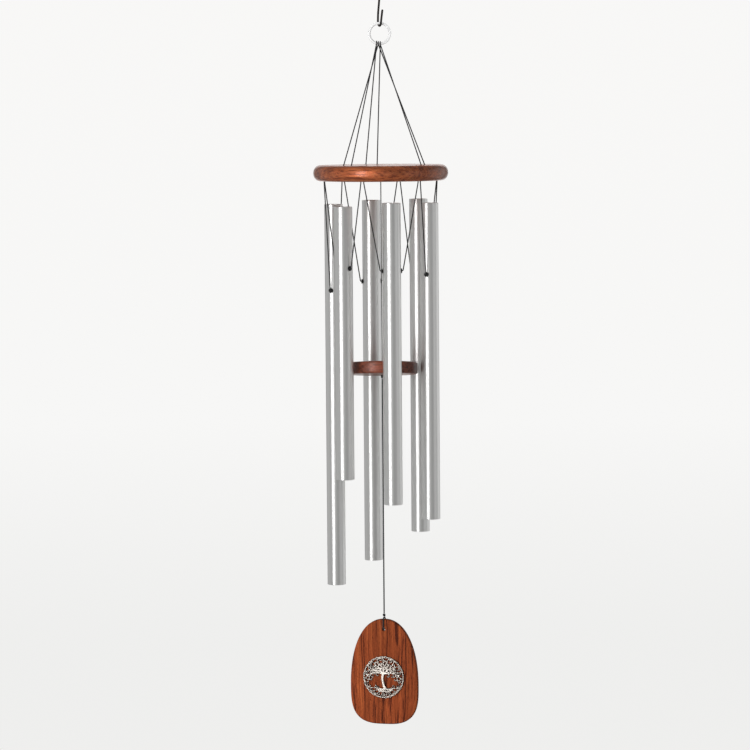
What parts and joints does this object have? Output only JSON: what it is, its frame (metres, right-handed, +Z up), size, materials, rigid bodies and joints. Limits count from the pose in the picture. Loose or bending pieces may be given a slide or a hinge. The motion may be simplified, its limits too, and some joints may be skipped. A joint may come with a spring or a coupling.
{
  "type": "wind chime",
  "caption": "Hanging wind chime: round wooden canopy on a ring and S-hook, hollow metal tubes on cords, wooden striker and an egg-shaped sail with a medallion.",
  "frame": {"origin": "inner top of the S-hook's upper bend, where the chime hangs", "axes": "+Z up, front of the sail (medallion side) towards -Y, +X to the right seen from the front"},
  "size_m": [0.116, 0.116, 0.6521],
  "materials": {
    "canopy_wood": "glossy reddish-brown stained hardwood, fine grain",
    "striker_wood": "glossy dark red-brown stained hardwood",
    "sail_wood": "satin reddish-brown stained hardwood, straight vertical grain",
    "satin_aluminium": "satin drawn aluminium tube with faint lines along its length",
    "bright_wire": "bright plated steel wire",
    "dark_wire": "dark bronze painted steel wire, satin",
    "cord": "dark grey braided polyester cord",
    "black_rubber": "matt black moulded grommet",
    "antique_silver": "antiqued silver casting, dark in the recesses and bright on the raised parts"
  },
  "bodies": {
    "hook": {"s_hook": "dark_wire"},
    "ring": {"hanging_ring": "bright_wire"},
    "canopy": {"canopy": "canopy_wood", "suspension_cord_1": "cord", "suspension_cord_2": "cord", "suspension_cord_3": "cord", "suspension_knot_1": "cord", "suspension_knot_2": "cord", "suspension_knot_3": "cord", "tube_cord_knot_1": "cord", "tube_cord_knot_2": "cord", "tube_cord_knot_3": "cord", "tube_cord_knot_4": "cord", "tube_cord_knot_5": "cord", "tube_cord_knot_6": "cord"},
    "centre_knot": {"centre_knot": "cord"},
    "centre_cord": {"centre_cord": "cord"},
    "striker": {"striker": "striker_wood"},
    "striker_knot": {"striker_knot": "cord"},
    "sail_cord": {"sail_cord": "cord"},
    "sail_knot": {"sail_knot": "cord"},
    "sail_loop": {"sail_loop": "cord"},
    "sail": {"windcatcher": "sail_wood", "medallion": "antique_silver"},
    "tube_cord_1": {"tube_cord_1": "cord"},
    "tube_1": {"tube_1": "satin_aluminium", "grommet_1_left": "black_rubber", "grommet_1_right": "black_rubber"},
    "tube_cord_2": {"tube_cord_2": "cord"},
    "tube_2": {"tube_2": "satin_aluminium", "grommet_2_left": "black_rubber", "grommet_2_right": "black_rubber"},
    "tube_cord_3": {"tube_cord_3": "cord"},
    "tube_3": {"tube_3": "satin_aluminium", "grommet_3_left": "black_rubber", "grommet_3_right": "black_rubber"},
    "tube_cord_4": {"tube_cord_4": "cord"},
    "tube_4": {"tube_4": "satin_aluminium", "grommet_4_left": "black_rubber", "grommet_4_right": "black_rubber"},
    "tube_cord_5": {"tube_cord_5": "cord"},
    "tube_5": {"tube_5": "satin_aluminium", "grommet_5_left": "black_rubber", "grommet_5_right": "black_rubber"},
    "tube_cord_6": {"tube_cord_6": "cord"},
    "tube_6": {"tube_6": "satin_aluminium", "grommet_6_left": "black_rubber", "grommet_6_right": "black_rubber"}
  },
  "joints": [
    {"name": "ring_swing", "type": "hinge", "parent": "hook", "child": "ring", "pos_m": [0, 0, -0.0464], "axis": [0, 1, 0], "range_deg": [-30, 30]},
    {"name": "canopy_swing", "type": "hinge", "parent": "ring", "child": "canopy", "pos_m": [0, 0, -0.0617], "axis": [1, 0, 0], "range_deg": [-30, 30]},
    {"name": "centre_swing_front", "type": "hinge", "parent": "canopy", "child": "centre_knot", "pos_m": [0, 0, -0.1786], "axis": [1, 0, 0], "range_deg": [-0.85, 0.85]},
    {"name": "centre_swing_side", "type": "hinge", "parent": "centre_knot", "child": "centre_cord", "pos_m": [0, 0, -0.1786], "axis": [0, 1, 0], "range_deg": [-0.85, 0.85]},
    {"name": "striker_tilt", "type": "hinge", "parent": "centre_cord", "child": "striker", "pos_m": [0, 0, -0.3405], "axis": [1, 0, 0], "range_deg": [0, 14]},
    {"name": "lower_swing_front", "type": "hinge", "parent": "centre_cord", "child": "striker_knot", "pos_m": [0, 0, -0.3475], "axis": [1, 0, 0], "range_deg": [-8, 8]},
    {"name": "lower_swing_side", "type": "hinge", "parent": "striker_knot", "child": "sail_cord", "pos_m": [0, 0, -0.3475], "axis": [0, 1, 0], "range_deg": [-8, 8]},
    {"name": "sail_turn", "type": "hinge", "parent": "sail_cord", "child": "sail_knot", "pos_m": [0, 0, -0.555], "axis": [0, 0, 1], "range_deg": [-180, 180]},
    {"name": "sail_flop", "type": "hinge", "parent": "sail_knot", "child": "sail_loop", "pos_m": [0, 0, -0.555], "axis": [0.9659, -0.2588, 0], "range_deg": [-25, 25]},
    {"name": "sail_rock", "type": "hinge", "parent": "sail_loop", "child": "sail", "pos_m": [0, 0, -0.5673], "axis": [-0.2588, -0.9659, 0], "range_deg": [-15, 15]},
    {"name": "cord_1_swing", "type": "hinge", "parent": "canopy", "child": "tube_cord_1", "pos_m": [-0.04106, 0.01374, -0.1786], "axis": [0.3173, 0.9483, 0], "range_deg": [-0.25, 12]},
    {"name": "tube_1_swing", "type": "hinge", "parent": "tube_cord_1", "child": "tube_1", "pos_m": [-0.04106, 0.01374, -0.27312], "axis": [0.3173, 0.9483, 0], "range_deg": [-0.25, 15]},
    {"name": "cord_2_swing", "type": "hinge", "parent": "canopy", "child": "tube_cord_2", "pos_m": [-0.00863, 0.04243, -0.1786], "axis": [0.9799, 0.1994, 0], "range_deg": [-0.25, 12]},
    {"name": "tube_2_swing", "type": "hinge", "parent": "tube_cord_2", "child": "tube_2", "pos_m": [-0.00863, 0.04243, -0.26726], "axis": [0.9799, 0.1994, 0], "range_deg": [-0.25, 15]},
    {"name": "cord_3_swing", "type": "hinge", "parent": "canopy", "child": "tube_cord_3", "pos_m": [0.03243, 0.02869, -0.1786], "axis": [0.6626, -0.749, 0], "range_deg": [-0.25, 12]},
    {"name": "tube_3_swing", "type": "hinge", "parent": "tube_cord_3", "child": "tube_3", "pos_m": [0.03243, 0.02869, -0.26032], "axis": [0.6626, -0.749, 0], "range_deg": [-0.25, 15]},
    {"name": "cord_4_swing", "type": "hinge", "parent": "canopy", "child": "tube_cord_4", "pos_m": [0.04106, -0.01374, -0.1786], "axis": [-0.3173, -0.9483, 0], "range_deg": [-0.25, 12]},
    {"name": "tube_4_swing", "type": "hinge", "parent": "tube_cord_4", "child": "tube_4", "pos_m": [0.04106, -0.01374, -0.25858], "axis": [-0.3173, -0.9483, 0], "range_deg": [-0.25, 15]},
    {"name": "cord_5_swing", "type": "hinge", "parent": "canopy", "child": "tube_cord_5", "pos_m": [0.00863, -0.04243, -0.1786], "axis": [-0.9799, -0.1994, 0], "range_deg": [-0.25, 12]},
    {"name": "tube_5_swing", "type": "hinge", "parent": "tube_cord_5", "child": "tube_5", "pos_m": [0.00863, -0.04243, -0.25432], "axis": [-0.9799, -0.1994, 0], "range_deg": [-0.25, 15]},
    {"name": "cord_6_swing", "type": "hinge", "parent": "canopy", "child": "tube_cord_6", "pos_m": [-0.03243, -0.02869, -0.1786], "axis": [-0.6626, 0.749, 0], "range_deg": [-0.25, 12]},
    {"name": "tube_6_swing", "type": "hinge", "parent": "tube_cord_6", "child": "tube_6", "pos_m": [-0.03243, -0.02869, -0.25235], "axis": [-0.6626, 0.749, 0], "range_deg": [-0.25, 15]}
  ]
}
